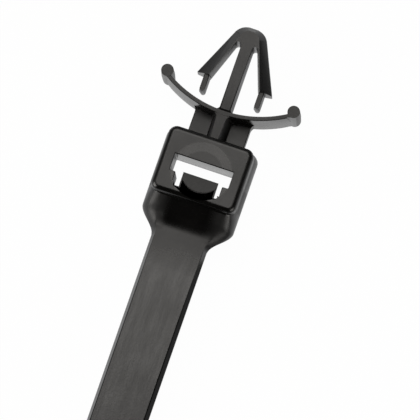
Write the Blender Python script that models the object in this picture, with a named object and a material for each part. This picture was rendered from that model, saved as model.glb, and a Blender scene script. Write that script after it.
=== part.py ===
"""Push-mount cable tie with side wings, moulded in one piece of black nylon.

The tie lies face up. X runs across the strap, Y along it with the arrow at +Y,
and Z up out of the face. The head rests on its back, and the strap droops until
its tip touches the same surface. Heights count from that surface, and places
along Y count from the lower edge of the strap slot until the last step, which
centres the whole tie on the origin.
"""
from math import asin, ceil, cos, hypot, pi, radians, sin, sqrt, tan

import bmesh
import bpy

MM = 0.001

# Strap
STRAP_WIDTH = 4.8 * MM
STRAP_THICKNESS = 1.25 * MM
STRAP_LENGTH = 172.0 * MM
STRAP_CHAMFER = 0.31 * MM
STRAP_STEP = 6.0 * MM

# Teeth on the strap's back
TOOTH_PITCH = 1.27 * MM
TOOTH_DEPTH = 0.5 * MM
TOOTH_LAND = 0.15
TOOTH_CREST_DROP = 0.06 * MM
TRACK_SIDE_CLEARANCE = 0.1 * MM
TRACK_START = 9.0 * MM

# Tail that is fed through the head
TAIL_LENGTH = 26.0 * MM
TAIL_TIP_WIDTH = 2.6 * MM
TAIL_TIP_FLAT = 0.5 * MM
GRIP_PITCH = 1.6 * MM
GRIP_DEPTH = 0.14 * MM
GRIP_MARGIN = 3.0 * MM

# Head
HEAD_DEPTH = 4.8 * MM
SIDE_WALL = 1.41 * MM
TOP_WALL = 2.26 * MM
STRAP_DROP = 1.85 * MM
BODY_DROP = 0.7 * MM
BODY_TAPER_START = 1.02 * MM
BODY_TAPER = 2.26 * MM
RAMP_LENGTH = 2.45 * MM
RAMP_STRAIGHT_SHARE = 0.35
BODY_SIDE_ROUND = 1.3 * MM
BODY_BACK_ROUND = 0.5 * MM
BODY_BACK_DRAFT = 0.12 * MM
BODY_BACK_RUN = 1.2 * MM
BODY_END_ROUND = 0.7 * MM

# Raised collar round the slot
COLLAR_MARGIN = 1.14 * MM
COLLAR_ROUND = 0.46 * MM
COLLAR_CORNER = 0.72 * MM
COLLAR_DRAFT = 0.06 * MM

# Slot, pawl and the cuts that free the pawl
SLOT_SIDE_CLEARANCE = 0.1 * MM
SLOT_THICKNESS_CLEARANCE = 0.15 * MM
SLOT_MOUTH = 0.35 * MM
SLOT_MOUTH_DEPTH = 1.7 * MM
LEDGE_WIDTH = 0.5 * MM
SLIT_WIDTH = 0.38 * MM
SLIT_DEPTH = 0.86 * MM
SLIT_DRAFT = 0.37 * MM
PAWL_THICKNESS = 0.8 * MM
PAWL_SHOULDER = 0.04 * MM
PAWL_RISE = 0.38 * MM
PAWL_RECESS = 1.5 * MM
PAWL_TEETH = 3
PAWL_TOOTH_CREST = 0.15
GROOVE_WIDTH = 0.9 * MM
GROOVE_SINK = 0.06 * MM
GROOVE_END_DROP = 1.0 * MM
GROOVE_END_SETBACK = 0.1 * MM
POCKET_DEPTH = 4.0 * MM
POCKET_CHEEK = 0.12 * MM
POCKET_INSET = 0.06 * MM
GROOVE_RIM = 0.23 * MM

# Neck between head and wing
NECK_LENGTH = 2.06 * MM
NECK_BACK = 0.35 * MM
NECK_FLARE = 0.6 * MM
NECK_DRAFT = 0.05 * MM
RIB_FRONT_WIDTH = 0.8 * MM
RIB_BASE_WIDTH = 1.7 * MM
RIB_FLARE = 0.4 * MM
RIB_SETBACK = 0.07 * MM

# Wing with a bead on each end
MID_HEIGHT = 2.0 * MM
WING_SPAN = 10.86 * MM
WING_RADIUS = 9.8 * MM
WING_THICKNESS = 0.42 * MM
WING_SETBACK = 0.04 * MM
WING_DRAFT = 0.03 * MM
BEAD_DIAMETER = 1.11 * MM
BEAD_LIFT = 0.2 * MM
BEAD_DRAFT = 0.04 * MM

# Arrow that snaps into the panel
ARROW_LENGTH = 7.4 * MM
ARROW_THICKNESS = 2.56 * MM
ARROW_EDGE = 1.06 * MM
ARROW_HALF_ANGLE = 24.2
ARROW_NOSE_ROUND = 1.2 * MM
ARROW_FACE_ROUND = 0.75 * MM
ARROW_FACE_DROP = 0.4 * MM
ARROW_NOSE_FLAT = 0.1 * MM
BARB_HEIGHT = 2.54 * MM
BARB_SPAN = 6.48 * MM
ARM_INNER_ANGLE = 19.8
ARM_FOOT_WIDTH = 1.24 * MM
ARM_RIDGE = 0.22 * MM
STEM_WIDTH = 1.18 * MM
ARROW_DRAFT = 0.13 * MM
STEM_FOOT = 0.55 * MM
CROTCH_DROP = 1.65 * MM

# Fingers below the barbs
FINGER_WIDTH = 0.58 * MM
FINGER_LENGTH = 1.5 * MM
FINGER_THICKNESS = 2.0 * MM
FINGER_DRAFT = 0.07 * MM
FINGER_INSET = 0.06 * MM
FINGER_SEAT = 0.06 * MM

# How finely round shapes are divided
ROUND_STEPS = 6
CIRCLE_STEPS = 36
ROUND_LIMIT = 0.8
SHARP_ANGLE = 28.0
OVERLAP = 0.3 * MM
FLARE_SINK = 0.04 * MM
BREAK_OUT = 0.5 * MM
MERGE = 0.0001 * MM

# Finish
NYLON_COLOUR = (0.022, 0.021, 0.02, 1.0)
NYLON_ROUGHNESS = 0.42

# Places that follow from the sizes
strap_half = STRAP_WIDTH / 2
strap_front = HEAD_DEPTH - STRAP_DROP
strap_back = strap_front - STRAP_THICKNESS
strap_middle = (strap_front + strap_back) / 2

slot_half = strap_half + SLOT_SIDE_CLEARANCE
slot_top = STRAP_THICKNESS + SLOT_THICKNESS_CLEARANCE
slot_levels = ((-BREAK_OUT, SLOT_MOUTH * (1 + BREAK_OUT / SLOT_MOUTH_DEPTH)),
               (SLOT_MOUTH_DEPTH, 0.0), (HEAD_DEPTH + BREAK_OUT, 0.0))
slit_outer = slot_half - LEDGE_WIDTH
pawl_half = slit_outer - SLIT_WIDTH
track_half = pawl_half + TRACK_SIDE_CLEARANCE

head_half = slot_half + SIDE_WALL
head_top = slot_top + TOP_WALL
groove_bottom = -PAWL_THICKNESS - GROOVE_WIDTH
pawl_front = HEAD_DEPTH - PAWL_RECESS
pawl_root = pawl_front - GROOVE_SINK
pocket_floor = HEAD_DEPTH - POCKET_DEPTH
collar_half = slot_half + COLLAR_MARGIN
collar_bottom = groove_bottom - GROOVE_RIM
body_front = HEAD_DEPTH - BODY_DROP
taper_start = collar_bottom - BODY_TAPER_START
taper_end = taper_start - BODY_TAPER
ramp_end = collar_bottom - RAMP_LENGTH
strap_tip = taper_end - STRAP_LENGTH

wing_under = head_top + NECK_LENGTH
wing_top = wing_under + WING_THICKNESS
barb_ledge = wing_top + BARB_HEIGHT
nose = wing_top + ARROW_LENGTH
arm_inner = BARB_SPAN / 2 - ARM_FOOT_WIDTH
stem_low = wing_under + WING_THICKNESS / 2


def ease(t):
    """Smooth step from 0 to 1, held at both ends."""
    t = min(max(t, 0.0), 1.0)
    return t * t * (3 - 2 * t)


def mix(a, b, t):
    return a + (b - a) * t


def arc(centre, radius, start, end, steps):
    """Points on an arc in a plane, with angles in degrees."""
    points = []
    for i in range(steps + 1):
        angle = radians(mix(start, end, i / steps))
        points.append((centre[0] + radius * cos(angle), centre[1] + radius * sin(angle)))
    return points


def offset(outline, distance):
    """Moves each edge of a counter-clockwise outline outwards by the distance."""
    moved = []
    count = len(outline)
    for i, (x, y) in enumerate(outline):
        ax, ay = outline[i - 1]
        bx, by = outline[(i + 1) % count]
        first = hypot(x - ax, y - ay)
        second = hypot(bx - x, by - y)
        n1 = ((y - ay) / first, (ax - x) / first)
        n2 = ((by - y) / second, (x - bx) / second)
        spread = 1 + n1[0] * n2[0] + n1[1] * n2[1]
        moved.append((x + distance * (n1[0] + n2[0]) / spread, y + distance * (n1[1] + n2[1]) / spread))
    return moved


def mirrored(half_outline):
    """Closes an outline from its right half, listed from the bottom centre up to the top centre."""
    left = [(-x, y) for x, y in reversed(half_outline) if x > MERGE]
    return half_outline + left


def make_object(name, bm):
    bmesh.ops.remove_doubles(bm, verts=bm.verts, dist=MERGE)
    bmesh.ops.recalc_face_normals(bm, faces=bm.faces)
    mesh = bpy.data.meshes.new(name)
    bm.to_mesh(mesh)
    bm.free()
    item = bpy.data.objects.new(name, mesh)
    bpy.context.scene.collection.objects.link(item)
    return item


def loft(name, loops, bent=False):
    """A closed solid through rings with equally many points; bent sides are split into triangles."""
    bm = bmesh.new()
    rings = []
    for loop in loops:
        rings.append([bm.verts.new(point) for point in loop])
    bm.faces.new(rings[0])
    bm.faces.new(rings[-1])
    for near, far in zip(rings, rings[1:]):
        for i in range(len(near)):
            bm.faces.new((near[i - 1], near[i], far[i], far[i - 1]))
    if bent:
        bmesh.ops.triangulate(bm, faces=bm.faces)
    return make_object(name, bm)


def plate(name, outline, levels):
    """A solid from an outline in X and Y, with a height and an offset at each level."""
    loops = []
    for height, grow in levels:
        shape = offset(outline, grow) if grow else outline
        loops.append([(x, y, height) for x, y in shape])
    return loft(name, loops)


def drafted(name, outline, thickness, draft):
    """A plate round the parting plane, widest there and narrower at its two faces."""
    half = thickness / 2
    levels = [(MID_HEIGHT - half, -draft), (MID_HEIGHT, 0.0), (MID_HEIGHT + half, -draft)]
    return plate(name, outline, levels)


def bar(name, profile, half_width):
    """A solid from a profile in Y and Z that runs across X."""
    left = [(-half_width, y, z) for y, z in profile]
    right = [(half_width, y, z) for y, z in profile]
    return loft(name, [left, right])


def combine(target, tool, operation):
    """Applies an exact Boolean with the tool, then removes the tool."""
    tool.hide_render = True
    tool.display_type = "WIRE"
    step = target.modifiers.new(operation.title(), "BOOLEAN")
    step.operation = operation
    step.solver = "EXACT"
    step.object = tool
    graph = bpy.context.evaluated_depsgraph_get()
    mesh = bpy.data.meshes.new_from_object(target.evaluated_get(graph))
    target.modifiers.remove(step)
    target.data = mesh
    bpy.data.objects.remove(tool)


def body_half_width(y):
    """Half the width of head and strap at the parting line."""
    if y > head_top - BODY_END_ROUND:
        rise = (y - head_top + BODY_END_ROUND) / BODY_END_ROUND
        return head_half - BODY_END_ROUND * (1 - sqrt(max(0.0, 1 - rise * rise)))
    if y > strap_tip + TAIL_LENGTH:
        return mix(head_half, strap_half, ease((taper_start - y) / BODY_TAPER))
    tip_half = TAIL_TIP_WIDTH / 2
    half = mix(tip_half, strap_half, (y - strap_tip) / TAIL_LENGTH)
    if y < strap_tip + tip_half:
        reach = (strap_tip + tip_half - y) / tip_half
        half = max(TAIL_TIP_FLAT / 2, half * sqrt(max(0.0, 1 - reach * reach)))
    return half


def body_face_height(y):
    """Height of the front: the head's shoulder, then a hollow ramp down to the strap."""
    t = (collar_bottom - y) / RAMP_LENGTH
    t = 1 - min(max(t, 0.0), 1.0)
    fall = RAMP_STRAIGHT_SHARE * t + (1 - RAMP_STRAIGHT_SHARE) * t * t
    return mix(strap_front, body_front, fall)


def body_section(y):
    """Cross-section of head or strap at one place along Y, counter-clockwise seen from +Y."""
    strapness = ease((taper_start - y) / BODY_TAPER)
    back_rise = ease((taper_start + BODY_TAPER_START / 2 - y) / BODY_BACK_RUN)
    half = body_half_width(y)
    front = body_face_height(y)
    back = mix(0.0, strap_back, back_rise)
    side = mix(MID_HEIGHT, strap_middle, strapness)
    side_run = min(mix(BODY_SIDE_ROUND, STRAP_CHAMFER, strapness), half * ROUND_LIMIT)
    back_run = min(mix(BODY_BACK_ROUND, STRAP_CHAMFER, strapness), half * ROUND_LIMIT)
    draft = BODY_BACK_DRAFT
    back_round = min(BODY_BACK_ROUND, (side - back) * ROUND_LIMIT)

    right = []
    for i in range(ROUND_STEPS):
        turn = radians(90 * i / (ROUND_STEPS - 1))
        rounded = (half - draft - back_run * (1 - sin(turn)), back + back_round * (1 - cos(turn)))
        share = i / ROUND_STEPS
        straight = (half - back_run * (1 - share), mix(back, side, share))
        right.append((mix(rounded[0], straight[0], strapness), mix(rounded[1], straight[1], strapness)))
    for i in range(ROUND_STEPS + 1):
        turn = radians(90 * i / ROUND_STEPS)
        rounded = (half - side_run * (1 - cos(turn)), side + (front - side) * sin(turn))
        share = i / ROUND_STEPS
        straight = (half - side_run * share, mix(side, front, share))
        right.append((mix(rounded[0], straight[0], strapness), mix(rounded[1], straight[1], strapness)))
    left = [(-x, z) for x, z in reversed(right)]
    return [(x, y, z) for x, z in right + left]


def spaced(start, end, steps):
    return [mix(start, end, i / steps) for i in range(steps)]


def body_stations():
    """Places along Y where the head and strap get a cross-section."""
    places = []
    for i in range(ROUND_STEPS):
        turn = radians(90 * (1 - i / ROUND_STEPS))
        places.append(head_top - BODY_END_ROUND * (1 - sin(turn)))
    places.append(head_top - BODY_END_ROUND)
    places += spaced(collar_bottom + OVERLAP, taper_start, ROUND_STEPS - 1)
    places += spaced(taper_start, taper_end, 3 * ROUND_STEPS)
    tail_start = strap_tip + TAIL_LENGTH
    tip_start = strap_tip + TAIL_TIP_WIDTH / 2
    places += spaced(taper_end, tail_start, ceil((taper_end - tail_start) / STRAP_STEP))
    places += spaced(tail_start, tip_start, ceil(TAIL_LENGTH / STRAP_STEP))
    for i in range(ROUND_STEPS):
        turn = radians(90 * i / ROUND_STEPS)
        places.append(tip_start - TAIL_TIP_WIDTH / 2 * sin(turn))
    places.append(strap_tip)
    places.append(ramp_end)
    return sorted(set(places), reverse=True)


def make_body():
    return loft("cable_tie", [body_section(y) for y in body_stations()])


def cut_teeth(tie):
    """Saw teeth in a sunk track on the back, steep on the side that faces the head."""
    start = taper_end - TRACK_START
    end = strap_tip + TAIL_LENGTH
    count = int((start - end) / TOOTH_PITCH)
    root = strap_back + TOOTH_DEPTH
    crest = strap_back + TOOTH_CREST_DROP
    land = TOOTH_PITCH * TOOTH_LAND
    floor = []
    for i in range(count):
        top = start - i * TOOTH_PITCH
        floor.append((top, root))
        floor.append((top - land, root))
        floor.append((top - TOOTH_PITCH + land + land / 2, crest))
        floor.append((top - TOOTH_PITCH + land / 2, crest))
    floor.append((start - count * TOOTH_PITCH, root))
    low = strap_back - BREAK_OUT
    half = track_half
    loops = [[(-half, y, low), (half, y, low), (half, y, z), (-half, y, z)] for y, z in floor]
    combine(tie, loft("tooth_track", loops), "DIFFERENCE")


def cut_grips(tie):
    """Shallow cross grooves on both faces of the tail."""
    first = strap_tip + TAIL_LENGTH - GRIP_MARGIN
    last = strap_tip + TAIL_TIP_WIDTH / 2 + GRIP_MARGIN
    count = int((first - last) / GRIP_PITCH) + 1
    for face, way in ((strap_front, 1), (strap_back, -1)):
        outer = face + way * BREAK_OUT
        profile = [(first + GRIP_PITCH / 2, outer)]
        for i in range(count):
            middle = first - i * GRIP_PITCH
            profile.append((middle + GRIP_PITCH / 4, face + way * GRIP_DEPTH))
            profile.append((middle, face - way * GRIP_DEPTH))
            profile.append((middle - GRIP_PITCH / 4, face + way * GRIP_DEPTH))
        profile.append((first - count * GRIP_PITCH + GRIP_PITCH / 2, outer))
        combine(tie, bar("grip_grooves", profile, strap_half + BREAK_OUT), "DIFFERENCE")


def add_collar(tie):
    """The raised block round the slot, with rounded corners and a rounded front edge."""
    middle = (head_top + collar_bottom) / 2
    tall = (head_top - collar_bottom) / 2
    outline = []
    for i, (sx, sy) in enumerate(((1, 1), (-1, 1), (-1, -1), (1, -1))):
        centre = (sx * (collar_half - COLLAR_CORNER), middle + sy * (tall - COLLAR_CORNER))
        outline += arc(centre, COLLAR_CORNER, 90 * i, 90 * i + 90, ROUND_STEPS)
    levels = [(MID_HEIGHT, COLLAR_DRAFT)]
    for i in range(ROUND_STEPS + 1):
        turn = radians(90 * i / ROUND_STEPS)
        height = HEAD_DEPTH - COLLAR_ROUND * (1 - sin(turn))
        levels.append((height, -COLLAR_ROUND * (1 - cos(turn))))
    combine(tie, plate("collar", outline, levels), "UNION")


def cut_slot(tie):
    """The strap's way through the head, flared towards the back where the strap goes in."""
    def ring(height, grow):
        x = slot_half + grow
        low = -grow
        high = slot_top + grow
        return [(-x, low, height), (x, low, height), (x, high, height), (-x, high, height)]
    loops = [ring(height, grow) for height, grow in slot_levels]
    combine(tie, loft("slot", loops), "DIFFERENCE")


def pawl_side(height):
    """Half the pawl's width at a height; it narrows towards the back."""
    return pawl_half - SLIT_DRAFT * (HEAD_DEPTH - height) / HEAD_DEPTH


def bow(half_width, drop, low, reach):
    """A downward bow of a given width and drop, its lowest point at low, drawn out to a reach."""
    radius = (half_width * half_width + drop * drop) / (2 * drop)
    turn = asin(reach / radius) * 180 / pi
    return arc((0.0, low + radius), radius, 270 - turn, 270 + turn, 3 * ROUND_STEPS)


def crescent(lower_reach, upper_reach, inset):
    """The gap below the pawl: its own round underside above, a flatter bow below."""
    end_half = slit_outer - GROOVE_END_SETBACK
    end_drop = -GROOVE_END_DROP - groove_bottom
    lower = bow(end_half, end_drop, groove_bottom + inset, min(lower_reach, end_half))
    drop = PAWL_THICKNESS - PAWL_SHOULDER
    upper = bow(pawl_side(pawl_front), drop, -PAWL_THICKNESS - inset, upper_reach)
    return lower + upper[::-1]


def cut_groove(tie):
    """Cuts the crescent gap under the pawl, shallow at its ends and deep in the middle."""
    front = HEAD_DEPTH + BREAK_OUT
    gap = crescent(slit_outer, pawl_side(pawl_front) + GROOVE_SINK / 4, 0.0)
    combine(tie, plate("pawl_groove", gap, [(pawl_root, 0.0), (front, 0.0)]), "DIFFERENCE")

    def pit(height):
        reach = pawl_side(height) - POCKET_CHEEK
        return [(x, y, height) for x, y in crescent(reach, reach, POCKET_INSET)]
    combine(tie, loft("pawl_pocket", [pit(pocket_floor), pit(front)], True), "DIFFERENCE")


def add_pawl_teeth(tie):
    """Teeth with the strap's own pitch on the pawl, and its tip sunk below the head's face."""
    pitch = min(TOOTH_PITCH, (pawl_front - SLOT_MOUTH_DEPTH) / PAWL_TEETH)
    crown = pawl_front + GROOVE_SINK
    profile = [(-OVERLAP / 2, crown), (-OVERLAP / 2, pawl_front - PAWL_TEETH * pitch)]
    for i in range(PAWL_TEETH):
        top = pawl_front - (PAWL_TEETH - 1 - i) * pitch
        profile.append((0.0, top - pitch))
        profile.append((PAWL_RISE, top - pitch * PAWL_TOOTH_CREST))
        profile.append((PAWL_RISE, top if i < PAWL_TEETH - 1 else crown))
    combine(tie, bar("pawl_teeth", profile, pawl_half + SLIT_WIDTH / 4), "UNION")
    low = -PAWL_THICKNESS - GROOVE_WIDTH / 4
    front = HEAD_DEPTH + BREAK_OUT
    cover = [(low, pawl_front), (slot_top / 2, pawl_front), (slot_top / 2, front), (low, front)]
    combine(tie, bar("pawl_recess", cover, pawl_half + SLIT_WIDTH / 3), "DIFFERENCE")


def cut_slits(tie):
    """A slit on each side sets the pawl free; it widens towards the back as the slot does."""
    def ring(side, height, grow):
        low, high = sorted((side * pawl_side(height), side * (slit_outer + grow)))
        corners = [(low, -SLIT_DEPTH), (high, -SLIT_DEPTH), (high, slot_top / 2), (low, slot_top / 2)]
        return [(x, y, height) for x, y in corners]
    for side in (-1, 1):
        loops = [ring(side, height, grow) for height, grow in slot_levels]
        combine(tie, loft("slit", loops), "DIFFERENCE")


def wing_under_at(x):
    """Y of the wing's underside at a distance from the middle."""
    outer = WING_RADIUS + WING_THICKNESS / 2
    return wing_under + outer - sqrt(outer * outer - x * x)


def add_neck(tie):
    """A plate as wide as the strap and a rib in front of it, both flared under the wing."""
    def flared(half, flare, foot):
        under = wing_under_at(half + flare)
        corner = (half + flare, under - flare + FLARE_SINK)
        side = [(0.0, foot), (half, foot)]
        side += arc(corner, flare, 180, 90, ROUND_STEPS)
        side += [(half + flare, under + WING_THICKNESS / 2)]
        side += [(0.0, wing_top - WING_THICKNESS / 4)]
        return mirrored(side)

    foot = head_top - OVERLAP
    levels = [(NECK_BACK, -NECK_DRAFT), (MID_HEIGHT, 0.0)]
    combine(tie, plate("neck", flared(strap_half, NECK_FLARE, foot), levels), "UNION")

    rib_front = 2 * MID_HEIGHT - RIB_SETBACK
    base = flared(RIB_BASE_WIDTH / 2, RIB_FLARE, foot)
    narrow = flared(RIB_FRONT_WIDTH / 2, RIB_FLARE, foot)
    loops = [[(x, y, MID_HEIGHT - OVERLAP) for x, y in base]]
    loops.append([(x, y, rib_front) for x, y in narrow])
    combine(tie, loft("rib", loops), "UNION")


def add_wing(tie):
    """A thin strip curved towards the panel, with a round bead standing on each end."""
    centre = (0.0, wing_under + WING_THICKNESS / 2 + WING_RADIUS)
    seat = WING_RADIUS - BEAD_LIFT
    turn = asin(WING_SPAN / 2 / seat) * 180 / pi
    outer = WING_RADIUS + WING_THICKNESS / 2
    inner = WING_RADIUS - WING_THICKNESS / 2
    outline = arc(centre, outer, 270 - turn, 270 + turn, CIRCLE_STEPS)
    outline += arc(centre, inner, 270 + turn, 270 - turn, CIRCLE_STEPS)
    strip = drafted("wing", outline, 2 * (MID_HEIGHT - WING_SETBACK), WING_DRAFT)
    combine(tie, strip, "UNION")

    radius = BEAD_DIAMETER / 2
    for side in (-1, 1):
        angle = radians(270 + side * turn)
        place = (centre[0] + seat * cos(angle), centre[1] + seat * sin(angle))
        ring = arc(place, radius, 0, 360, CIRCLE_STEPS)[:-1]
        bead = drafted("bead", ring, 2 * MID_HEIGHT, BEAD_DRAFT)
        combine(tie, bead, "UNION")


def nose_outline(top, foot, angle, largest_round):
    """An outline of arrow and stem, from its top, its width at the barbs and its slope."""
    corner = foot - (top - barb_ledge) * tan(radians(angle))
    bend = tan(radians(90 - angle) / 2)
    radius = min(largest_round, (corner - ARROW_NOSE_FLAT / 2) / bend)
    centre = (corner - radius * bend, top - radius)
    turns = arc(centre, radius, angle, 90, 2 * ROUND_STEPS)
    stem = [(0.0, stem_low), (STEM_WIDTH, stem_low), (STEM_WIDTH, barb_ledge)]
    return mirrored(stem + [(foot, barb_ledge)] + turns)


def crotch_outline(side):
    """The gap between stem and arm, round at its top and open at the barb."""
    stem = STEM_WIDTH / 2
    slope = radians(ARM_INNER_ANGLE)
    low = stem_low - BREAK_OUT
    top = nose - CROTCH_DROP

    def arm(y):
        return arm_inner - (y - barb_ledge) * tan(slope)

    # The round top touches the stem's side and the arm's inner face.
    gap = arm(top) - stem
    radius = gap / (1 + (1 - sin(slope)) / cos(slope))
    radius = max(radius, FLARE_SINK)
    centre_x = stem + radius
    centre_y = barb_ledge + (arm_inner - centre_x - radius / cos(slope)) / tan(slope)
    points = [(stem, low), (arm(low), low)]
    points += arc((centre_x, centre_y), radius, ARM_INNER_ANGLE, 180, 2 * ROUND_STEPS)
    if side < 0:
        points = [(-x, y) for x, y in reversed(points)]
    return points


def make_arrow():
    """Arrowhead and stem: a wedge that slopes to its face, opened by a gap on each side of the stem."""
    half = ARROW_THICKNESS / 2
    edge = ARROW_EDGE / 2
    outer = nose_outline(nose, BARB_SPAN / 2, ARROW_HALF_ANGLE, ARROW_NOSE_ROUND)
    ridge = arm_inner + ARM_RIDGE
    face = nose_outline(nose - ARROW_FACE_DROP, ridge, ARM_INNER_ANGLE, ARROW_FACE_ROUND)
    loops = []
    for height, shape in ((-half, face), (-edge, outer), (edge, outer), (half, face)):
        loops.append([(x, y, MID_HEIGHT + height) for x, y in shape])
    arrow = loft("arrow", loops)
    reach = half + BREAK_OUT
    spread = ARROW_DRAFT * reach / half
    for side in (-1, 1):
        levels = [(MID_HEIGHT - reach, spread), (MID_HEIGHT, 0.0), (MID_HEIGHT + reach, spread)]
        combine(arrow, plate("crotch", crotch_outline(side), levels), "DIFFERENCE")
    return arrow


def add_stem_foot(tie):
    """The foot of the stem on the wing, which flares all round."""
    half = STEM_WIDTH / 2
    deep = ARROW_THICKNESS / 2
    loops = []
    for i in range(ROUND_STEPS + 1):
        turn = radians(90 * i / ROUND_STEPS)
        grow = STEM_FOOT * (1 - sin(turn)) - FLARE_SINK
        y = wing_top + STEM_FOOT * (1 - cos(turn)) - FLARE_SINK
        front = half - ARROW_DRAFT + grow
        middle = half + grow
        reach = deep + grow - FLARE_SINK
        ring = [(-front, y, MID_HEIGHT - reach), (front, y, MID_HEIGHT - reach), (middle, y, MID_HEIGHT)]
        ring += [(front, y, MID_HEIGHT + reach), (-front, y, MID_HEIGHT + reach), (-middle, y, MID_HEIGHT)]
        loops.append(ring)
    sunk = [(x, stem_low, z) for x, y, z in loops[0]]
    combine(tie, loft("stem_foot", [sunk] + loops), "UNION")


def add_fingers(tie):
    """A round-ended finger below each barb, which keeps the arrow central in the hole."""
    inner = arm_inner + FINGER_INSET
    radius = FINGER_WIDTH / 2
    top = barb_ledge + FINGER_SEAT
    end = barb_ledge - FINGER_LENGTH + radius
    for side in (-1, 1):
        middle = side * (inner + radius)
        outline = [(middle - radius, top)]
        outline += arc((middle, end), radius, 180, 360, 2 * ROUND_STEPS)
        outline.append((middle + radius, top))
        finger = drafted("finger", outline, FINGER_THICKNESS, FINGER_DRAFT)
        combine(tie, finger, "UNION")


def droop(tie):
    """Lets the strap sink like a held strip until its tip lies on the surface."""
    reach = taper_end - strap_tip
    for vertex in tie.data.vertices:
        run = (taper_end - vertex.co.y) / reach
        if run > 0:
            vertex.co.z -= strap_back * run * run * (3 - run) / 2


def nylon():
    material = bpy.data.materials.new("black_nylon")
    material.use_nodes = True
    shader = material.node_tree.nodes["Principled BSDF"]
    shader.inputs["Base Color"].default_value = NYLON_COLOUR
    shader.inputs["Roughness"].default_value = NYLON_ROUGHNESS
    shader.inputs["Metallic"].default_value = 0.0
    return material


def build():
    for item in list(bpy.data.objects):
        bpy.data.objects.remove(item)
    tie = make_body()
    cut_teeth(tie)
    cut_grips(tie)
    add_collar(tie)
    cut_slot(tie)
    cut_groove(tie)
    add_pawl_teeth(tie)
    cut_slits(tie)
    add_neck(tie)
    add_wing(tie)
    arrow = make_arrow()
    combine(tie, arrow, "UNION")
    add_stem_foot(tie)
    add_fingers(tie)
    droop(tie)
    tie.location.y = -(nose + strap_tip) / 2
    tie.data.materials.clear()
    tie.data.materials.append(nylon())
    tie.data.shade_smooth()
    tie.data.set_sharp_from_angle(angle=radians(SHARP_ANGLE))
    triangles = sum(len(face.vertices) - 2 for face in tie.data.polygons)
    print("cable tie:", triangles, "triangles, length", round((nose - strap_tip) / MM, 2), "mm")


build()
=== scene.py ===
# %% [markdown]
# # A push-mount cable tie
#
# A cable tie with a push mount is one small moulding of black nylon. A long toothed strap goes
# round a bundle of wires and back through the slot in the head, where a springy pawl holds it.
# Above the head a thin curved wing and an arrow with two barbs snap into a hole in a panel.
#
# The solid model already has every form of the moulding. It is loaded here as a fixed frame, in
# metres, lying face up on the floor. What this lesson adds is what makes it look moulded: edges
# that are slightly soft, a slope that runs out flat at its foot, a satin black finish that
# changes from place to place, and a small studio with one plain floor and soft lamps.

import math

import bmesh
import bpy
from mathutils import Matrix, Vector
from mathutils.geometry import intersect_point_line


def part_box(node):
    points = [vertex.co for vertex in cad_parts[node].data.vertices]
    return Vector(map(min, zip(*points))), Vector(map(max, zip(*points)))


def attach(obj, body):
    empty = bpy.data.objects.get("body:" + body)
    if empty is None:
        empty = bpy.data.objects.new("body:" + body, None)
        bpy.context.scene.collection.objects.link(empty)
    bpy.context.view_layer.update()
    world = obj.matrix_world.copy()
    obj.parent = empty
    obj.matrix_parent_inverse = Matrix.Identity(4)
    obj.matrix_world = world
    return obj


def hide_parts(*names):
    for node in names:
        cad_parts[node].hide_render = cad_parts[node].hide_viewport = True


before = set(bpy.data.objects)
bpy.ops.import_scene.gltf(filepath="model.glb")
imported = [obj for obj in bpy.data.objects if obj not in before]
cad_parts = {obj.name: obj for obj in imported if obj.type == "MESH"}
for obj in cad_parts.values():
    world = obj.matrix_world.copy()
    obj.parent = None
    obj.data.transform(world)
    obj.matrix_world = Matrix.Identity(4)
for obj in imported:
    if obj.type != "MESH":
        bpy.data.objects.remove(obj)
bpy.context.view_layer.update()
MM = 0.001
low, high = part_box("cable_tie")
print("the tie measures", [round(side / MM, 2) for side in high - low], "mm")

# %% [markdown]
# ## Two helpers
#
# Colours are easiest to choose as the hex values that a paint program shows. Those are sRGB
# values, and a shader wants linear ones, so one function turns them over. A second one adds a
# node to a node tree, with its settings and with what is plugged into it, so that a material
# below reads as a short list of what it is made of.

# %% Helpers for colours and nodes
def colour(hex_value):
    """The linear RGBA of an sRGB hex value such as '#1A1A1A'."""
    shares = [int(hex_value[at:at + 2], 16) / 255 for at in (1, 3, 5)]
    linear = [s / 12.92 if s <= 0.04045 else ((s + 0.055) / 1.055) ** 2.4 for s in shares]
    return (*linear, 1.0)


def add(tree, kind, inputs=None, **settings):
    """Adds a node; each input is a plain value or the output socket that feeds it."""
    node = tree.nodes.new(kind)
    for name, value in settings.items():
        setattr(node, name, value)
    for socket, value in (inputs or {}).items():
        if isinstance(value, bpy.types.NodeSocket):
            tree.links.new(value, node.inputs[socket])
        else:
            node.inputs[socket].default_value = value
    return node


print("mid grey #808080 is", round(colour("#808080")[0], 3), "in linear light")

# %% [markdown]
# ## Where things are on the tie
#
# The tie points along Y, with the arrow's nose at the far end. The finish changes between the
# strap, the head and the arrow, so the head has its own zero line, the slot's edge on the pawl's
# side, which is worked out from the nose. Every place along the tie is given from there, with a
# minus towards the strap.

# %% Places on the tie
NOSE_FROM_HEAD = 13.54 * MM
head_y = high.y - NOSE_FROM_HEAD
face_z = high.z
print("the head's zero line is at y =", round(head_y / MM, 3), "mm")

# %% [markdown]
# ## The camera
#
# The picture was taken from almost straight above, a little from the right and from the strap's
# side, with the tie turned clockwise in the frame. The sides of the strap stay parallel, which
# says that the lens was long or far away. A long lens from 0.6 m does the same, and a camera
# with perspective can still be moved back to take in the whole strap.

# %% Camera
FRAME_WIDTH = 33.99 * MM
SENSOR = 36.0
DISTANCE = 0.6
TURN = math.radians(19.0)
AIM_RIGHT = 1.685 * MM
AIM_BELOW = 2.127 * MM
target = Vector((AIM_RIGHT, head_y - AIM_BELOW, face_z))
towards_camera = Vector((0.085, -0.15, 0.985)).normalized()

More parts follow.
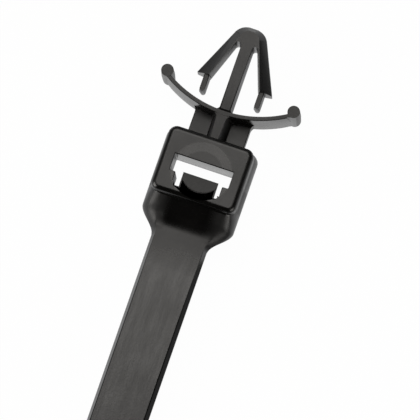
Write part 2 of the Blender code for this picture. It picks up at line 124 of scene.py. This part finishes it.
camera_data = bpy.data.cameras.new("long_lens")
camera_data.sensor_width = SENSOR
camera_data.lens = SENSOR * DISTANCE / FRAME_WIDTH
camera_data.clip_start, camera_data.clip_end = 0.05, 20
camera = bpy.data.objects.new("long_lens", camera_data)
bpy.context.scene.collection.objects.link(camera)
bpy.context.scene.camera = camera

up = Vector((-math.sin(TURN), math.cos(TURN), 0))
right = up.cross(towards_camera).normalized()
true_up = towards_camera.cross(right)
camera.matrix_world = Matrix.Translation(target + towards_camera * DISTANCE) @ Matrix(
    (right, true_up, towards_camera)).transposed().to_4x4()
print("the lens is", round(camera_data.lens), "mm long")

# %% [markdown]
# ## The moulding
#
# The mould for a tie is milled from steel, so its inner edges are never knife sharp, and the
# nylon comes out with edges rounded by a little less than a tenth of a millimetre. That is small,
# but it draws the thin light and dark lines along the rim of the head and the strap.
#
# The solid's mesh is loose triangles. A copy of it is merged at its shared corners, and its flat
# areas are joined into whole faces. The steps after it judge areas and lengths against small
# fixed limits, so the copy is enlarged until one millimetre is one unit, and shrunk again later.

# %% Copy and merge the solid's mesh
MERGE = 0.0005 * MM
FLAT_WITHIN = math.radians(0.4)
form = bmesh.new()
form.from_mesh(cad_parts["cable_tie"].data)
bmesh.ops.remove_doubles(form, verts=form.verts, dist=MERGE)
bmesh.ops.dissolve_limit(form, angle_limit=FLAT_WITHIN, verts=form.verts, edges=form.edges)
bmesh.ops.scale(form, vec=Vector((1, 1, 1)) / MM, verts=form.verts)
print("the moulding has", len(form.faces), "faces,",
      sum(not edge.is_manifold for edge in form.edges), "open edges")

# %% [markdown]
# ## The sweep below the head
#
# The head sweeps down to the strap and meets it in the solid at a slight angle, which would draw
# a hard line right across. On the real tie the sweep runs out flat. So the corners above its foot
# are sunk by up to 0.09 mm, most of all a millimetre up from the foot, and the slope starts
# level. Above that the sinking fades out again.
#
# The sweep is also slightly crowned from side to side. Three cuts on each side give it corners
# there, and they are sunk a little more the further out they lie.

# %% Ease and crown the sweep
# Places along the tie, from the head's zero line
FOOT = -4.38
CROWNED = -3.9
EASED = -3.4
UNTOUCHED = -2.6
# Heights above the floor: the low sides stay, and the sweep's skin moves
STILL_BELOW = 1.4
MOVES_FULLY = 2.9
SINK = 0.09
CROWN_SINK = 0.07
CROWN_CUTS = (1.7, 2.05, 2.35)
LOOKS_UP = 0.7
CUT_TOLERANCE = 0.001


def share_of_way(value, start, end):
    """How far a value has come from start to end, from 0 to 1."""
    return min(max((value - start) / (end - start), 0), 1)


form.normal_update()
for cut in (side * x for x in CROWN_CUTS for side in (-1, 1)):
    sweep = [face for face in form.faces if face.normal.z > LOOKS_UP
             and FOOT < face.calc_center_median().y - head_y / MM < UNTOUCHED]
    edges = dict.fromkeys(edge for face in sweep for edge in face.edges)
    corners = dict.fromkeys(corner for face in sweep for corner in face.verts)
    bmesh.ops.bisect_plane(form, geom=[*sweep, *edges, *corners], dist=CUT_TOLERANCE,
                           plane_co=(cut, 0, 0), plane_no=(1, 0, 0))
for corner in form.verts:
    along = corner.co.y - head_y / MM
    fading = share_of_way(along, UNTOUCHED, EASED)
    moving = fading ** 2 * (3 - 2 * fading) * share_of_way(corner.co.z, STILL_BELOW, MOVES_FULLY)
    sunk = SINK * (1 - (1 - share_of_way(along, FOOT, EASED)) ** 2)
    outer = share_of_way(abs(corner.co.x), CROWN_CUTS[0], CROWN_CUTS[-1])
    crown = CROWN_SINK * outer ** 2 * share_of_way(along, FOOT, CROWNED)
    corner.co.z -= (sunk + crown) * moving
print("the sweep is eased over", round(EASED - FOOT, 2), "mm")

# %% [markdown]
# ## Soft edges
#
# Every edge that turns by more than 30 degrees is rounded. An edge is left as it is when it is
# shorter than a tenth of a millimetre, or when a face beside it is too narrow to give up a strip
# on both sides, because the two strips would then run over each other. The operator could clamp
# its strips by itself, but it gives every edge the width that the tightest place allows, and on
# this form that leaves no strips at all.

# %% Round the edges
EDGE_ROUND = 0.08
SHARP_FROM = math.radians(30)
SHORTEST = 0.1
STRIPS_AND_GAP = 2.2
ROOM = STRIPS_AND_GAP * EDGE_ROUND


def has_room(side):
    """Whether a face is wide enough for two strips, measured from the middle of one side."""
    start, end = side.vert.co, side.link_loop_next.vert.co
    middle = (start + end) / 2
    inwards = side.face.normal.cross(end - start).normalized()
    for edge in side.face.edges:
        first, last = (corner.co for corner in edge.verts)
        along = intersect_point_line(middle, first, last)[1]
        across = first.lerp(last, min(max(along, 0), 1)) - middle
        if across.length < ROOM and across.dot(inwards) > across.length / 2:
            return False
    return True


form.normal_update()
sharp = [edge for edge in form.edges
         if edge.calc_face_angle(0) > SHARP_FROM and edge.calc_length() > SHORTEST
         and all(has_room(side) for side in edge.link_loops)]
bmesh.ops.bevel(form, geom=sharp, offset=EDGE_ROUND, offset_type="OFFSET", segments=2,
                profile=0.5, affect="EDGES", clamp_overlap=False, material=-1)
form.normal_update()
for face in form.faces:
    face.smooth = True
shell_mesh = bpy.data.meshes.new("tie_moulding")
form.to_mesh(shell_mesh)
form.free()
print(len(sharp), "edges are rounded, which gives", len(shell_mesh.polygons), "faces")

# %% [markdown]
# ## Shading
#
# Smooth shading gives each corner the average direction of the faces that meet there, as if they
# were equals. That would bend the light over whole flats. Here each face counts by its area
# instead, and only faces within 35 degrees count, so flats stay flat and only the narrow
# roundings and the curved walls shade from one side to the other. Each sum starts from a trace
# of the face's own direction, in case the faces at a corner have next to no area.

# %% Let the largest face win
BLEND_WITHIN = math.cos(math.radians(35))
LEAST_AREA = 5e-7
faces_at = [[] for vertex in shell_mesh.vertices]
for face in shell_mesh.polygons:
    for corner in face.vertices:
        faces_at[corner].append((face.normal.copy(), face.area))
directions = []
for face in shell_mesh.polygons:
    for corner in face.vertices:
        total = face.normal * LEAST_AREA
        for normal, area in faces_at[corner]:
            if face.normal.dot(normal) > BLEND_WITHIN:
                total += normal * area
        directions.append(total.normalized())
shell_mesh.transform(Matrix.Scale(MM, 4))
shell_mesh.normals_split_custom_set(directions)
print(len(directions), "corners of faces have their own direction")

# %% Put the moulding in the scene
shell = bpy.data.objects.new("tie_moulding", shell_mesh)
bpy.context.scene.collection.objects.link(shell)

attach(shell, "root")
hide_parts("cable_tie")
print("the moulding stands for the solid cable_tie")

# %% [markdown]
# ## The finish: black moulded nylon
#
# Nylon 6/6 coloured with carbon black has almost no colour of its own. What the eye sees is the
# room reflected in a satin skin: the broad flats are dark grey, slopes that look at the dark
# side of the room are black, and walls seen at a low angle mirror the white floor.
#
# The skin isn't the same everywhere, because it copies the steel of its mould, so the finish has
# zones. Each one is a value from 0 to 1, worked out from the place on the tie or from the way
# that the surface looks. Further down, each zone takes some roughness off or adds some.

# %% Start the nylon
nylon = bpy.data.materials.new("moulded_nylon_black")
nylon.use_nodes = True
tree = nylon.node_tree
tree.nodes.clear()
place = add(tree, "ShaderNodeTexCoord").outputs["Object"]
axes = add(tree, "ShaderNodeSeparateXYZ", {"Vector": place}).outputs
across = add(tree, "ShaderNodeMath", {0: axes["X"]}, operation="ABSOLUTE").outputs[0]
print(nylon.name, "reads its place on the object from", len(axes), "axes")

# %% [markdown]
# ### Zones along the tie
#
# The strap comes off a long groove that was polished lengthwise, so the strap is the smoothest
# part. The neck, the wing and the arrow come off small pockets that are harder to polish. They
# are a little duller than the head, and this fades out towards the nose.

# %% Strap and neck
STRAP_START = -5.0 * MM
STRAP_BLEND = 2.6 * MM
strap_zone = add(tree, "ShaderNodeMapRange", {
    "Value": axes["Y"], "From Min": head_y + STRAP_START,
    "From Max": head_y + STRAP_START - STRAP_BLEND}).outputs["Result"]

HEAD_TOP = 3.66 * MM
ARROW_BLEND = 6.5 * MM
above_head = add(tree, "ShaderNodeMath", {0: axes["Y"], 1: head_y + HEAD_TOP},
                 operation="GREATER_THAN").outputs[0]
neck_zone = add(tree, "ShaderNodeMapRange", {
    "Value": axes["Y"], "From Min": high.y, "From Max": high.y - ARROW_BLEND,
    "To Max": above_head}).outputs["Result"]
print("the head's own finish is", round((HEAD_TOP - STRAP_START) / MM, 2), "mm long")

# %% [markdown]
# ### The ring
#
# A round pin in the mould's insert has left a ring on the head's face. The slot cuts through it,
# so what shows is mostly the arc above the slot. It is a little smoother than the face, which
# makes it a faint paler band, and it is on the face alone.

# %% Ring
RING_CENTRE = 0.55 * MM
RING_MIDDLE = 2.12 * MM
RING_HALF_WIDTH = 0.38 * MM
RING_BLEND = 0.04 * MM
from_centre = add(tree, "ShaderNodeMapping", {
    "Vector": place, "Location": (0, -head_y - RING_CENTRE, 0), "Scale": (1, 1, 0)})
radius = add(tree, "ShaderNodeVectorMath", {0: from_centre.outputs["Vector"]}, operation="LENGTH")
from_middle = add(tree, "ShaderNodeMath", {0: radius.outputs["Value"], 1: RING_MIDDLE},
                  operation="SUBTRACT")
off_ring = add(tree, "ShaderNodeMath", {0: from_middle.outputs[0]}, operation="ABSOLUTE")
ring = add(tree, "ShaderNodeMapRange", {
    "Value": off_ring.outputs[0], "From Min": RING_HALF_WIDTH + RING_BLEND,
    "From Max": RING_HALF_WIDTH - RING_BLEND}).outputs["Result"]
on_face = add(tree, "ShaderNodeMath", {0: axes["Z"], 1: face_z - RING_BLEND},
              operation="GREATER_THAN")
ring_zone = add(tree, "ShaderNodeMath", {0: ring, 1: on_face.outputs[0]},
                operation="MULTIPLY").outputs[0]
print("the ring is", round(2 * (RING_MIDDLE + RING_HALF_WIDTH) / MM, 2), "mm across")

# %% [markdown]
# ### Walls that look towards the strap
#
# The walls that look back towards the strap are the glossiest ones on the real head. The middle
# of the sweep mirrors the dark end of the room sharply and turns black. The slot's far wall and
# the underside of the wing mirror the white sheet and turn pale.
#
# The way that a surface looks comes from its normal. A wall that also looks to the side counts
# less, so the fingers and the arms of the arrow aren't polished.

# %% Polished walls
POLISH_FULL = 1.5 * MM
POLISH_ENDS = 3.2 * MM
SWEEP_TOP = -2.0 * MM
LEANS_BACK = -0.05
LOOKS_BACK = -0.3
upright = add(tree, "ShaderNodeNewGeometry").outputs["Normal"]
turned = add(tree, "ShaderNodeSeparateXYZ", {"Vector": upright}).outputs
sideways = add(tree, "ShaderNodeMath", {0: turned["X"]}, operation="ABSOLUTE").outputs[0]
squarely = add(tree, "ShaderNodeMath", {0: turned["Y"], 1: sideways}, operation="ADD").outputs[0]
facing = add(tree, "ShaderNodeMapRange", {
    "Value": squarely, "From Min": LEANS_BACK, "From Max": LOOKS_BACK}).outputs["Result"]
middle = add(tree, "ShaderNodeMapRange", {
    "Value": across, "From Min": POLISH_ENDS, "From Max": POLISH_FULL}).outputs["Result"]
beyond = add(tree, "ShaderNodeMath", {0: axes["Y"], 1: head_y + SWEEP_TOP},
             operation="GREATER_THAN").outputs[0]
polished = add(tree, "ShaderNodeMath", {0: middle, 1: beyond}, operation="MAXIMUM").outputs[0]
facing_zone = add(tree, "ShaderNodeMath", {0: facing, 1: polished},
                  operation="MULTIPLY").outputs[0]
print("polish is full from a slope of", round(math.degrees(math.asin(-LOOKS_BACK))), "degrees")

# %% [markdown]
# ### Flanks of the sweep
#
# The rounded flanks on both sides of the polished middle keep the dull skin of the milled steel.
# A lamp's mirror image spreads out there into a soft glow, where a polished flank would show it
# as a hard streak. Towards the outline the dullness fades out.

# %% Dull flanks
FLANK_MIDDLE = -3.3 * MM
FLANK_REACH = 1.3 * MM
FLANK_FADES = 2.8 * MM
FLANK_ENDS = 3.4 * MM
flank_row = add(tree, "ShaderNodeMath", {0: axes["Y"], 1: head_y + FLANK_MIDDLE, 2: FLANK_REACH},
                operation="COMPARE").outputs[0]
outside = add(tree, "ShaderNodeMath", {0: 1.0, 1: middle}, operation="SUBTRACT").outputs[0]
flank = add(tree, "ShaderNodeMapRange", {
    "Value": across, "From Min": FLANK_ENDS, "From Max": FLANK_FADES,
    "To Max": outside}).outputs["Result"]
flank_zone = add(tree, "ShaderNodeMath", {0: flank_row, 1: flank},
                 operation="MULTIPLY").outputs[0]
print("the dull flanks are", round(2 * FLANK_REACH / MM, 1), "mm long")

# %% [markdown]
# ### The pawl
#
# The pawl sits deep below the head's face, where the mould's steel is hard to polish, so its own
# small face is a little duller.

# %% Pawl
PAWL_MIDDLE = -0.5 * MM
PAWL_REACH = 0.95 * MM
PAWL_BELOW = 0.3 * MM
pawl_row = add(tree, "ShaderNodeMath", {0: axes["Y"], 1: head_y + PAWL_MIDDLE, 2: PAWL_REACH},
               operation="COMPARE").outputs[0]
sunken = add(tree, "ShaderNodeMath", {0: axes["Z"], 1: face_z - PAWL_BELOW},
             operation="LESS_THAN").outputs[0]
pawl_zone = add(tree, "ShaderNodeMath", {0: sunken, 1: pawl_row},
                operation="MULTIPLY").outputs[0]
print("the pawl's row is", round(2 * PAWL_REACH / MM, 1), "mm long")

# %% [markdown]
# ### Clouds, streaks and grain
#
# Three patterns run over the zones. Clouds of 2.5 mm come from nylon that cooled a little faster
# here and slower there. Streaks 0.35 mm wide and eight times as long follow the way the melt
# ran, along the tie, and only the strap is smooth enough for them to show in the gloss. The
# grain of the mould's steel is about 0.03 mm, too fine to show at this size, so it is drawn at
# 0.13 mm, and it goes into the relief as well as the gloss.

# %% Patterns
CLOUD_SIZE = 2.5 * MM
STREAK_WIDTH = 0.35 * MM
STREAK_LENGTH = 8
GRAIN_SIZE = 0.13 * MM

clouds = add(tree, "ShaderNodeTexNoise", {"Vector": place, "Scale": 1 / CLOUD_SIZE,
                                          "Detail": 3.0}).outputs["Fac"]
drawn_out = add(tree, "ShaderNodeMapping", {"Vector": place, "Scale": (1, 1 / STREAK_LENGTH, 1)})
streaks = add(tree, "ShaderNodeTexNoise", {"Vector": drawn_out.outputs["Vector"],
                                           "Scale": 1 / STREAK_WIDTH,
                                           "Detail": 2.0}).outputs["Fac"]
strap_streaks = add(tree, "ShaderNodeMath", {0: streaks, 1: strap_zone},
                    operation="MULTIPLY").outputs[0]
grain = add(tree, "ShaderNodeTexNoise", {"Vector": place, "Scale": 1 / GRAIN_SIZE,
                                         "Detail": 1.0}).outputs["Fac"]
print("one streak is", round(STREAK_WIDTH * STREAK_LENGTH / MM, 1), "mm long")

# %% [markdown]
# ### Gloss
#
# The roughness starts from that of the head's face, and each zone and pattern adds its share. A
# share below zero makes its place smoother. A noise texture wanders round 0.5, so half the shares
# of the clouds and the grain is taken off the start, and the face stays what it was on average.
# The streaks are on the strap alone, where the strap's own share makes up for them.

# %% Roughness
FACE_ROUGHNESS = 0.33
CLOUD_SHARE = 0.16
GRAIN_SHARE = 0.10
SHARES = ((strap_zone, -0.26), (ring_zone, -0.10), (neck_zone, 0.07), (facing_zone, -0.13),
          (flank_zone, 0.25), (pawl_zone, 0.10), (clouds, CLOUD_SHARE), (strap_streaks, 0.18),
          (grain, GRAIN_SHARE))
level = FACE_ROUGHNESS - (CLOUD_SHARE + GRAIN_SHARE) / 2
for pattern, share in SHARES:
    level = add(tree, "ShaderNodeMath", {0: pattern, 1: share, 2: level},
                operation="MULTIPLY_ADD").outputs[0]
print("zones and patterns that change the gloss:", len(SHARES))

# %% [markdown]
# ### Relief and colour
#
# The grain and the streaks are also felt as a relief of a hundredth of a millimetre or two. The
# colour is a black that turns very slightly warm and paler with the clouds. Nylon bends light
# by an index of 1.53, and that is all the gloss there is, with no coat on top.

# %% Moulded nylon
GRAIN_HEIGHT = 0.01 * MM
GRAIN_STRENGTH = 0.12
STREAK_HEIGHT = 0.02 * MM
STREAK_STRENGTH = 0.10
NYLON_IOR = 1.53
grained = add(tree, "ShaderNodeBump", {"Height": grain, "Strength": GRAIN_STRENGTH,
                                       "Distance": GRAIN_HEIGHT})
relief = add(tree, "ShaderNodeBump", {"Height": streaks, "Strength": STREAK_STRENGTH,
                                      "Distance": STREAK_HEIGHT,
                                      "Normal": grained.outputs["Normal"]})
tone = add(tree, "ShaderNodeMix", {"Factor": clouds, "A": colour("#040404"),
                                   "B": colour("#090807")}, data_type="RGBA")
surface = add(tree, "ShaderNodeBsdfPrincipled", {
    "Base Color": tone.outputs["Result"], "IOR": NYLON_IOR, "Roughness": level,
    "Normal": relief.outputs["Normal"]})
add(tree, "ShaderNodeOutputMaterial", {"Surface": surface.outputs["BSDF"]})
shell.data.materials.clear()
shell.data.materials.append(nylon)
print("the nylon is made of", len(tree.nodes), "nodes")

# %% [markdown]
# ## The floor
#
# The tie lies on a plain sheet of white paper, 12 m across so that its end is never seen. Its
# rim stands up, so that a low view still has white behind the tie.

# %% Floor
FLOOR_RADIUS = 6.0
RIM_HEIGHT = 0.6
form = bmesh.new()
bmesh.ops.create_circle(form, cap_ends=True, segments=96, radius=FLOOR_RADIUS)
rim = [edge for edge in form.edges if edge.is_boundary]
raised = bmesh.ops.extrude_edge_only(form, edges=rim)["geom"]
bmesh.ops.translate(form, vec=(0, 0, RIM_HEIGHT),
                    verts=[v for v in raised if isinstance(v, bmesh.types.BMVert)])
floor_mesh = bpy.data.meshes.new("floor")
form.to_mesh(floor_mesh)
form.free()
floor = bpy.data.objects.new("floor", floor_mesh)
bpy.context.scene.collection.objects.link(floor)
print("the floor is", 2 * FLOOR_RADIUS, "m across")

# %% [markdown]
# ### What a reflection sees of the sheet
#
# Black plastic mirrors the sheet that it lies on. A reflection sees it white only near the tie,
# where the lamps' light falls, and ever dimmer further out. To the right of the strap the sheet
# lies in shade, because the strap's right edge is dark in the picture. The shade is for
# reflections alone, and the camera never sees it.

# %% Dim far sheet and shade beside the strap
LIT_REACH = 0.4
SHADE = 0.85
SHADE_FROM = 3.0 * MM
SHADE_FULL = 4.0 * MM
SHADE_TOP = -5.5 * MM
sheet = bpy.data.materials.new("white_paper_sheet")
sheet.use_nodes = True
tree = sheet.node_tree
tree.nodes.clear()
path = add(tree, "ShaderNodeLightPath").outputs
spot = add(tree, "ShaderNodeTexCoord").outputs["Object"]
spots = add(tree, "ShaderNodeSeparateXYZ", {"Vector": spot}).outputs
away = add(tree, "ShaderNodeVectorMath", {0: spot}, operation="LENGTH").outputs["Value"]
far = add(tree, "ShaderNodeMapRange", {"Value": away, "From Max": LIT_REACH}).outputs["Result"]
to_the_right = add(tree, "ShaderNodeMapRange", {
    "Value": spots["X"], "From Min": SHADE_FROM, "From Max": SHADE_FULL,
    "To Max": SHADE}).outputs["Result"]
beside = add(tree, "ShaderNodeMath", {0: spots["Y"], 1: head_y + SHADE_TOP},
             operation="LESS_THAN").outputs[0]
shade = add(tree, "ShaderNodeMath", {0: to_the_right, 1: beside}, operation="MULTIPLY").outputs[0]
dimmed = add(tree, "ShaderNodeMath", {0: path["Is Glossy Ray"], 1: far}, operation="MULTIPLY")
shaded = add(tree, "ShaderNodeMath", {0: path["Is Glossy Ray"], 1: shade}, operation="MULTIPLY")
loss = add(tree, "ShaderNodeMath", {0: dimmed.outputs[0], 1: shaded.outputs[0]},
           operation="MAXIMUM")
strength = add(tree, "ShaderNodeMath", {0: 1.0, 1: loss.outputs[0]}, operation="SUBTRACT")
print("a reflection loses the sheet", LIT_REACH, "m away")

# %% [markdown]
# ### What the camera sees of the sheet
#
# A sheet that is lit like any other would look grey beside the white of a product picture. So
# nearly all of what the camera sees of it is plain white, and the rest is the sheet as it is
# lit, which keeps a faint shadow under the tie.

# %% White sheet
SEEN_WHITE = 0.98
straight = add(tree, "ShaderNodeMath", {0: path["Is Camera Ray"],
                                        1: path["Is Transmission Ray"]}, operation="MAXIMUM")
share = add(tree, "ShaderNodeMath", {0: straight.outputs[0], 1: SEEN_WHITE,
                                     2: path["Is Glossy Ray"]}, operation="MULTIPLY_ADD")
lit = add(tree, "ShaderNodeBsdfDiffuse", {"Color": colour("#F6F6F5")})
white = add(tree, "ShaderNodeEmission", {"Color": colour("#FFFFFF"),
                                         "Strength": strength.outputs[0]})
both = add(tree, "ShaderNodeMixShader", {0: share.outputs[0], 1: lit.outputs[0],
                                         2: white.outputs[0]})
add(tree, "ShaderNodeOutputMaterial", {"Surface": both.outputs[0]})
floor.data.materials.append(sheet)
print("the camera sees the sheet as", round(100 * SEEN_WHITE), "percent plain white")

# %% [markdown]
# ## Light
#
# Black plastic is lit by what it mirrors. One broad soft lamp hangs over the arrow's end, where
# the flats mirror its near edge to the camera. A smooth skin shows that edge clearly and is
# paler, and a rougher one spreads it out and is darker, which is what makes the zones show.
#
# A second lamp stands low on the left and draws the light lines along the left edges, and a
# weaker one on the right keeps the walls there from going black. No lamp hangs over the strap's
# far end, and that is what makes the slope below the head black.

# %% Lamps
WARM_WHITE = "#FFFCF8"


def lamp(name, place, size, power):
    """A square soft lamp that looks at the head."""
    data = bpy.data.lights.new(name, "AREA")
    data.shape, data.size, data.energy = "SQUARE", size, power
    data.color = colour(WARM_WHITE)[:3]
    holder = bpy.data.objects.new(name, data)
    holder.location = place
    aim = Vector((0, head_y, 0)) - Vector(place)
    holder.rotation_mode = "QUATERNION"
    holder.rotation_quaternion = aim.to_track_quat("-Z", "Y")
    holder.visible_camera = False
    bpy.context.scene.collection.objects.link(holder)
    print(name, "is", round(aim.length, 2), "m away")


lamp("top_lamp", (-0.22, 0.62, 1.15), 0.95, 8.0)
lamp("left_lamp", (-1.0, -0.62, 0.6), 0.8, 12.0)
lamp("right_fill", (1.0, -0.5, 0.45), 0.7, 5.0)

# %% [markdown]
# The room itself is dark grey. It is what a slope mirrors when it looks past the lamps and the
# sheet. The view is the plain one, which shows each colour about as it is written.

# %% Room
world = bpy.data.worlds.new("studio")
bpy.context.scene.world = world
world.use_nodes = True
tree = world.node_tree
tree.nodes.clear()
air = add(tree, "ShaderNodeBackground", {"Color": colour("#161616"), "Strength": 1.0})
add(tree, "ShaderNodeOutputWorld", {"Surface": air.outputs[0]})
bpy.context.scene.view_settings.view_transform = "Standard"
print("the view is", bpy.context.scene.view_settings.view_transform)
